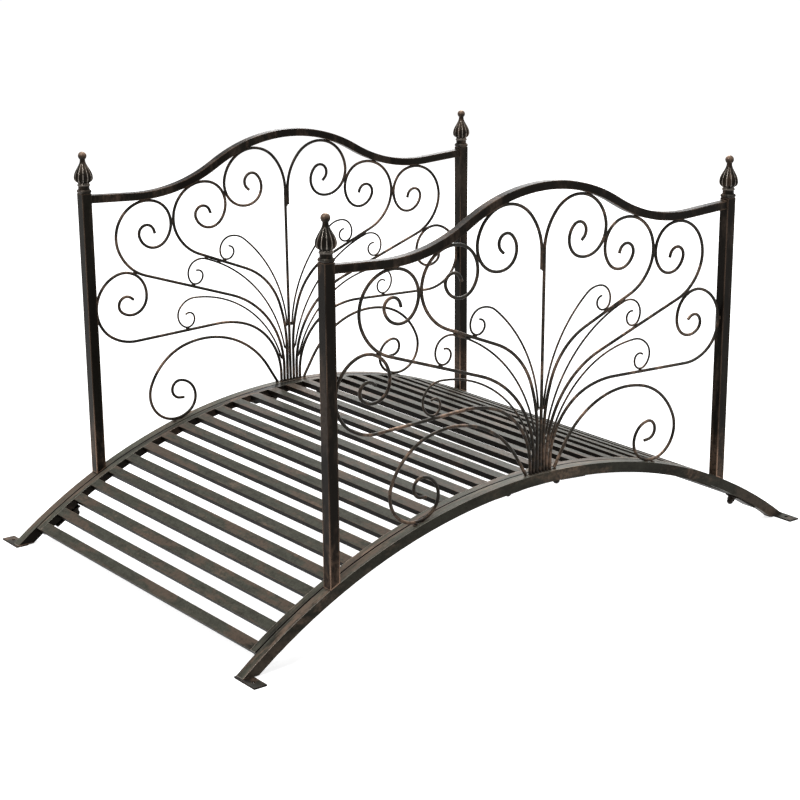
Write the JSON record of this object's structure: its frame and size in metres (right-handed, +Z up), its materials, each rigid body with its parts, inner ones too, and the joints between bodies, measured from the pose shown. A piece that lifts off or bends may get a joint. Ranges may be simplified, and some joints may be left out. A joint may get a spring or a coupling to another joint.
{
  "type": "garden bridge",
  "caption": "Arched metal garden bridge with a slatted deck and two side panels of scrollwork under a curved top rail.",
  "frame": {"origin": "on the ground, under the middle of the bridge", "axes": "+X along the bridge in the direction of walking, +Y across it towards the back panel, +Z up"},
  "size_m": [1.3, 0.89, 0.7472],
  "materials": {
    "panel_tube": "dark antique bronze paint, semi-gloss, rubbed brown along the edges",
    "finial": "dark antique bronze paint, rubbed copper brown on the ball and the flutes",
    "foot_plate": "dark antique bronze paint, semi-gloss",
    "scroll_rod": "dark antique bronze paint, rubbed copper brown along the rods",
    "spray_rod": "dark antique bronze paint, rubbed copper brown along the rods",
    "slat": "antique bronze paint, grey-olive with brown patches, semi-gloss",
    "deck_bar": "dark antique bronze paint, semi-gloss",
    "fixing": "dark antique bronze paint, semi-gloss"
  },
  "bodies": {
    "root": {"front_arch": "panel_tube", "front_left_post": "panel_tube", "front_right_post": "panel_tube", "front_left_finial": "finial", "front_right_finial": "finial", "front_left_foot": "foot_plate", "front_right_foot": "foot_plate", "front_top_rail": "panel_tube", "front_stem_scroll": "scroll_rod", "front_crown_scroll": "scroll_rod", "front_upper_scrolls": "scroll_rod", "front_middle_scrolls": "scroll_rod", "front_lower_scrolls": "scroll_rod", "front_base_scrolls": "scroll_rod", "front_inner_sprays": "spray_rod", "front_middle_sprays": "spray_rod", "front_outer_sprays": "spray_rod", "back_arch": "panel_tube", "back_left_post": "panel_tube", "back_right_post": "panel_tube", "back_left_finial": "finial", "back_right_finial": "finial", "back_left_foot": "foot_plate", "back_right_foot": "foot_plate", "back_top_rail": "panel_tube", "back_stem_scroll": "scroll_rod", "back_crown_scroll": "scroll_rod", "back_upper_scrolls": "scroll_rod", "back_middle_scrolls": "scroll_rod", "back_lower_scrolls": "scroll_rod", "back_base_scrolls": "scroll_rod", "back_inner_sprays": "spray_rod", "back_middle_sprays": "spray_rod", "back_outer_sprays": "spray_rod", "front_deck_bar": "deck_bar", "back_deck_bar": "deck_bar", "left_slats": "slat", "middle_slats": "slat", "right_slats": "slat", "deck_fixings": "fixing"}
  },
  "joints": []
}
